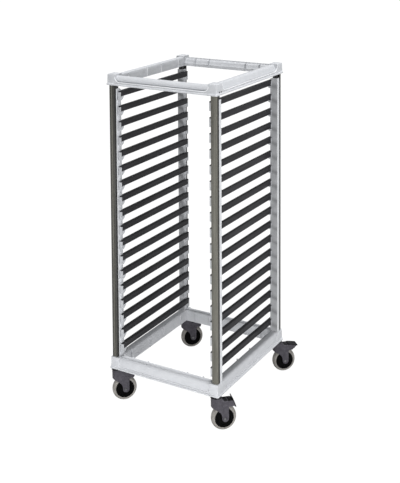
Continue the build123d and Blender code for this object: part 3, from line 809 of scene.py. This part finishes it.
def fork_trim(corner):
    """Fender rib and stiffened legs on both cheeks of a fork, a band round its housing."""
    at, s, z = caster_space(corner)
    fender = arc_points(s, z, FENDER_OUT, FENDER_START, FENDER_END, 9)
    fender += arc_points(s, z, FENDER_IN, FENDER_END, FENDER_START, 9)
    leg = rounded([(s - 7.0, z - 4.0), (s + 14.5, z - 4.0), (s + 16.0, z + 50.0), (s - 18.0, z + 42.0)],
                  [8.0, 8.0, 5.0, 9.0], 4)
    bm = bmesh.new()
    for side in (-1, 1):
        plate(bm, at, fender, side * (FORK_W - TRIM_SINK), side * (FORK_W + FENDER_T))
        plate(bm, at, leg, side * (FORK_W - TRIM_SINK), side * (FORK_W + LEG_T))
    half = FORK_W + BAND_T
    band = arc_points(0.0, 0.0, HOUSING_R + BAND_T, 90, 270, 20)
    band += [(BAND_END, -half), (BAND_FRONT, -half), (BAND_FRONT, half), (BAND_END, half)]
    slab(bm, at, band, BAND_Z, BAND_Z + BAND_H)
    place(bm, "fork_trim_" + corner, FORK, "swivel_" + corner, 0.5)


def hood_cover(corner):
    """Black cover let into the level top of a fork's hood."""
    at, _, _ = caster_space(corner)
    plan = rounded([(COVER_BACK, -COVER_W), (COVER_FRONT, -COVER_W), (COVER_FRONT, COVER_W),
                    (COVER_BACK, COVER_W)], 4.0, 4)
    bm = bmesh.new()
    slab(bm, at, plan, HOOD_Z - COVER_SINK, HOOD_Z + COVER_RISE)
    place(bm, "hood_cover_" + corner, PEDAL, "swivel_" + corner, 0.6)


def pedal_space(corner):
    """A function from a pedal's own plane to space: u out along the lever, v up, w across.

    The lever is drawn pressed down.  A pedal whose travel runs below zero is let up at rest, so
    its drawing is turned back by that travel.
    """
    joint = JOINTS["brake_pedal_" + corner]
    low, high = joint["range_deg"]
    lean = math.radians(-low if high <= 0 else 0.0)
    at, _, _ = caster_space(corner)
    pivot = Vector(joint["pos_m"]) / MM
    swivel = Vector(JOINTS["swivel_" + corner]["pos_m"]) / MM
    reach = math.hypot(pivot.x - swivel.x, pivot.y - swivel.y)

    def on_lever(u, v, w):
        return at(reach + u * math.cos(lean) - v * math.sin(lean),
                  pivot.z + u * math.sin(lean) + v * math.cos(lean), w)

    return on_lever


PEDAL_W = 22.0                     # half width of a brake pedal
CHEEK_T = 3.5
WEB_SINK = 0.5                     # how far the web is let into both cheeks
PIN_R = 2.5
CHEEK = [(-12, 1), (-8, 5), (1, 5), (13, -27), (10, -23), (2, -21), (-7, -19), (-14, -12)]
WEB = [(-12.0, 0.5), (-8.0, 4.4), (1.5, 4.4), (3.5, -1.0), (-8.0, -1.0), (-10.0, -4.0)]
TOE_OUT = [(0.0, 20.0), (7.5, 2.0), (18.0, -27.0)]
TOE_IN = [(14.0, -29.5), (1.5, 3.0), (-4.0, 18.0)]
TOE_RADII = [1.5, 4.0, 1.8, 1.8, 4.0, 1.5]
TREADS = 5                         # ribs across the toe plate
TREAD_START = 0.10                 # place of the first, as a share of the plate's long slope
TREAD_STEP = 0.18
TREAD_IN = 3.0                     # they stop this far short of both sides
TREAD = [(-1.0, 1.2), (0.9, 0.8), (0.9, -0.8), (-1.0, -1.2)]


def pedal_cheeks(corner, on_lever):
    outline = rounded(CHEEK, 1.5, 2)
    bm = bmesh.new()
    for side in (-1, 1):
        plate(bm, on_lever, outline, side * (PEDAL_W - CHEEK_T), side * PEDAL_W)
    return place(bm, "pedal_cheeks_" + corner, FORK, "pedal_" + corner, 0.7)


def pedal_web(corner, on_lever):
    """The dark web between the cheeks, with the pin that the lever turns on."""
    half = PEDAL_W - CHEEK_T + WEB_SINK
    bm = bmesh.new()
    plate(bm, on_lever, rounded(WEB, 0.8, 2), -half, half)
    plate(bm, on_lever, arc_points(0.0, 0.0, PIN_R, 0, 330, 11), -FORK_W, FORK_W)
    return place(bm, "pedal_web_" + corner, PEDAL, "pedal_" + corner, 0.4)


def pedal_toe(corner, on_lever):
    """The toe plate, with treads down its long slope."""
    bm = bmesh.new()
    plate(bm, on_lever, rounded(TOE_OUT + TOE_IN, TOE_RADII, 3), -PEDAL_W, PEDAL_W)
    start, end = Vector(TOE_OUT[1]), Vector(TOE_OUT[2])
    for step in range(TREADS):
        middle = start + (TREAD_START + TREAD_STEP * step) * (end - start)
        tread = [(middle.x + u, middle.y + v) for u, v in TREAD]
        plate(bm, on_lever, tread, TREAD_IN - PEDAL_W, PEDAL_W - TREAD_IN)
    return place(bm, "pedal_toe_" + corner, PEDAL, "pedal_" + corner, 0.5)


def pedal(corner):
    """Brake pedal: two cheeks, a dark web between them and a ribbed toe plate."""
    on_lever = pedal_space(corner)
    for draw in (pedal_cheeks, pedal_web, pedal_toe):
        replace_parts(draw(corner, on_lever), "brake_pedal_" + corner)


RING_IN, RING_OUT = 34.0, 36.0     # radii of the step ring in a wheel disc
RING_SINK, RING_FACE = 14.0, 18.0  # where it starts and ends, from the middle of the wheel


def disc_ring(corner):
    """Step ring inside a wheel disc, on both faces."""
    at, s, z = caster_space(corner)
    outer = arc_points(s, z, RING_OUT, 0, 350, 35)
    inner = arc_points(s, z, RING_IN, 0, 350, 35)
    bm = bmesh.new()
    for side in (-1, 1):
        section = ((outer, RING_SINK), (outer, RING_FACE), (inner, RING_FACE), (inner, RING_SINK))
        skin(bm, [[at(p[0], p[1], side * w) for p in ring] for ring, w in section], closed=True)
    place(bm, "disc_ring_" + corner, DISC, "wheel_" + corner, 0.4)


def casters():
    for corner, _, _ in CORNERS:
        dress("caster_stem_" + corner, PEDAL, 0.6)
        dress("caster_fork_" + corner, FORK, 2.2, 3)
        dress("caster_axle_" + corner, STEEL, 0.5)
        dress("caster_hub_" + corner, DISC, 0.6)
        dress("caster_tyre_" + corner, TYRE, 1.6, 3)
        disc_ring(corner)
        fork_trim(corner)
        hood_cover(corner)
        if "brake_pedal_" + corner in nodes:
            pedal(corner)


casters()


# ---------------------------------------------------------------- camera
# A high, nearly level shift-lens view from the front right corner.
CAM_PLACE = Vector((2.4705, -4.2271, 2.5221))
CAM_YAW = math.radians(30.12)
CAM_PITCH = math.radians(-4.52)
CAM_ROLL = math.radians(0.34)
LENS = 71.99                       # millimetres, on a sensor 36 mm wide
SHIFT_Y = -0.54143
HEIGHT_SLACK = 0.0005              # how exactly the camera has to stand at its height to be shifted


def make_camera():
    data = bpy.data.cameras.new("studio_camera")
    cam = bpy.data.objects.new("studio_camera", data)
    bpy.context.scene.collection.objects.link(cam)
    bpy.context.scene.camera = cam
    data.sensor_fit = "AUTO"
    data.sensor_width = 36.0
    data.lens = LENS
    data.clip_start = 0.1
    data.clip_end = 100.0
    turn = Matrix.Rotation(CAM_YAW, 3, "Z") @ Matrix.Rotation(CAM_PITCH, 3, "X")
    turn = turn @ Matrix.Rotation(CAM_ROLL, 3, "Y")
    right, forward, up = turn.col[0], turn.col[1], turn.col[2]
    stance = Matrix((right, up, -forward)).transposed().to_4x4()
    stance.translation = CAM_PLACE
    cam.matrix_world = stance
    # the shift belongs to this standpoint only, so that views from elsewhere stay centred
    curve = data.driver_add("shift_y")
    height = curve.driver.variables.new()
    height.name = "height"
    height.type = "TRANSFORMS"
    height.targets[0].id = cam
    height.targets[0].transform_type = "LOC_Z"
    height.targets[0].transform_space = "WORLD_SPACE"
    curve.driver.type = "SCRIPTED"
    curve.driver.expression = "%.5f if abs(height - %.4f) < %.4f else 0.0" % (
        SHIFT_Y, CAM_PLACE.z, HEIGHT_SLACK)


make_camera()


# ---------------------------------------------------------------- light and floor
def soft_lamp(name, place_at, aim, size, power):
    """A round lamp that throws light but isn't seen itself."""
    data = bpy.data.lights.new(name, "AREA")
    data.shape = "DISK"
    data.size = size
    data.energy = power
    o = bpy.data.objects.new(name, data)
    bpy.context.scene.collection.objects.link(o)
    o.visible_camera = False
    o.location = place_at
    o.rotation_euler = (Vector(aim) - Vector(place_at)).to_track_quat("-Z", "Y").to_euler()


SUN_TILT = -1.0                    # from a little behind, so light reaches the top of the base


def overhead(strength, angle):
    """Light from above, nearly straight down."""
    data = bpy.data.lights.new("overhead", "SUN")
    data.energy = strength
    data.angle = math.radians(angle)
    o = bpy.data.objects.new("overhead", data)
    bpy.context.scene.collection.objects.link(o)
    o.rotation_euler = (math.radians(SUN_TILT), 0.0, 0.0)


SKY = (0.97, 0.985, 1.0, 1.0)
SKY_POWER = 0.33


def studio():
    """White surroundings for the camera, softer ones for the light they give."""
    world = bpy.data.worlds.new("studio")
    bpy.context.scene.world = world
    world.use_nodes = True
    tree = world.node_tree
    seen = add(tree, "ShaderNodeBackground", in_Color=(1, 1, 1, 1), in_Strength=1.0)
    given = tree.nodes["Background"]
    given.inputs["Color"].default_value = SKY
    given.inputs["Strength"].default_value = SKY_POWER
    path = add(tree, "ShaderNodeLightPath")
    switch = add(tree, "ShaderNodeMixShader")
    tree.links.new(path.outputs["Is Camera Ray"], switch.inputs[0])
    tree.links.new(given.outputs[0], switch.inputs[1])
    tree.links.new(seen.outputs[0], switch.inputs[2])
    tree.links.new(switch.outputs[0], tree.nodes["World Output"].inputs["Surface"])


FLOOR_REACH = 40.0                 # half the floor's width, in metres
FLOOR_GLOW = 1.06
FLOOR_GLOW_SHARE = 0.95            # the rest of what the camera sees of it is lit, and shows shadow


def floor():
    """A plain pale floor that burns out to white, with only a breath of shadow."""
    mesh = bpy.data.meshes.new("floor")
    around = [(FLOOR_REACH * x, FLOOR_REACH * y, 0.0) for x, y in ((-1, -1), (1, -1), (1, 1), (-1, 1))]
    mesh.from_pydata(around, [], [(0, 1, 2, 3)])
    o = bpy.data.objects.new("floor", mesh)
    bpy.context.scene.collection.objects.link(o)
    mat, tree, shader = new_material("floor_white")
    tone = ramp(tree, noise(tree, 3.0, 2.0), ((0.3, 0.44), (0.7, 0.48)))
    tree.links.new(tone, shader.inputs["Base Color"])
    shader.inputs["Roughness"].default_value = 0.9
    glow = add(tree, "ShaderNodeEmission", in_Strength=FLOOR_GLOW)
    path = add(tree, "ShaderNodeLightPath")
    share = add(tree, "ShaderNodeMath", operation="MULTIPLY")
    share.inputs[1].default_value = FLOOR_GLOW_SHARE
    tree.links.new(path.outputs["Is Camera Ray"], share.inputs[0])
    blend = add(tree, "ShaderNodeMixShader")
    tree.links.new(share.outputs[0], blend.inputs[0])
    tree.links.new(shader.outputs[0], blend.inputs[1])
    tree.links.new(glow.outputs[0], blend.inputs[2])
    tree.links.new(blend.outputs[0], tree.nodes["Material Output"].inputs["Surface"])
    mesh.materials.append(mat)


studio()
floor()
overhead(3.7, 1.5)
soft_lamp("key", (4.8, -1.4, 1.6), (0, 0, 0.8), 1.6, 135)
soft_lamp("fill", (0.2, -2.4, 0.45), (-0.1, -0.36, 0.22), 0.8, 29)
bpy.context.scene.view_settings.view_transform = "Standard"
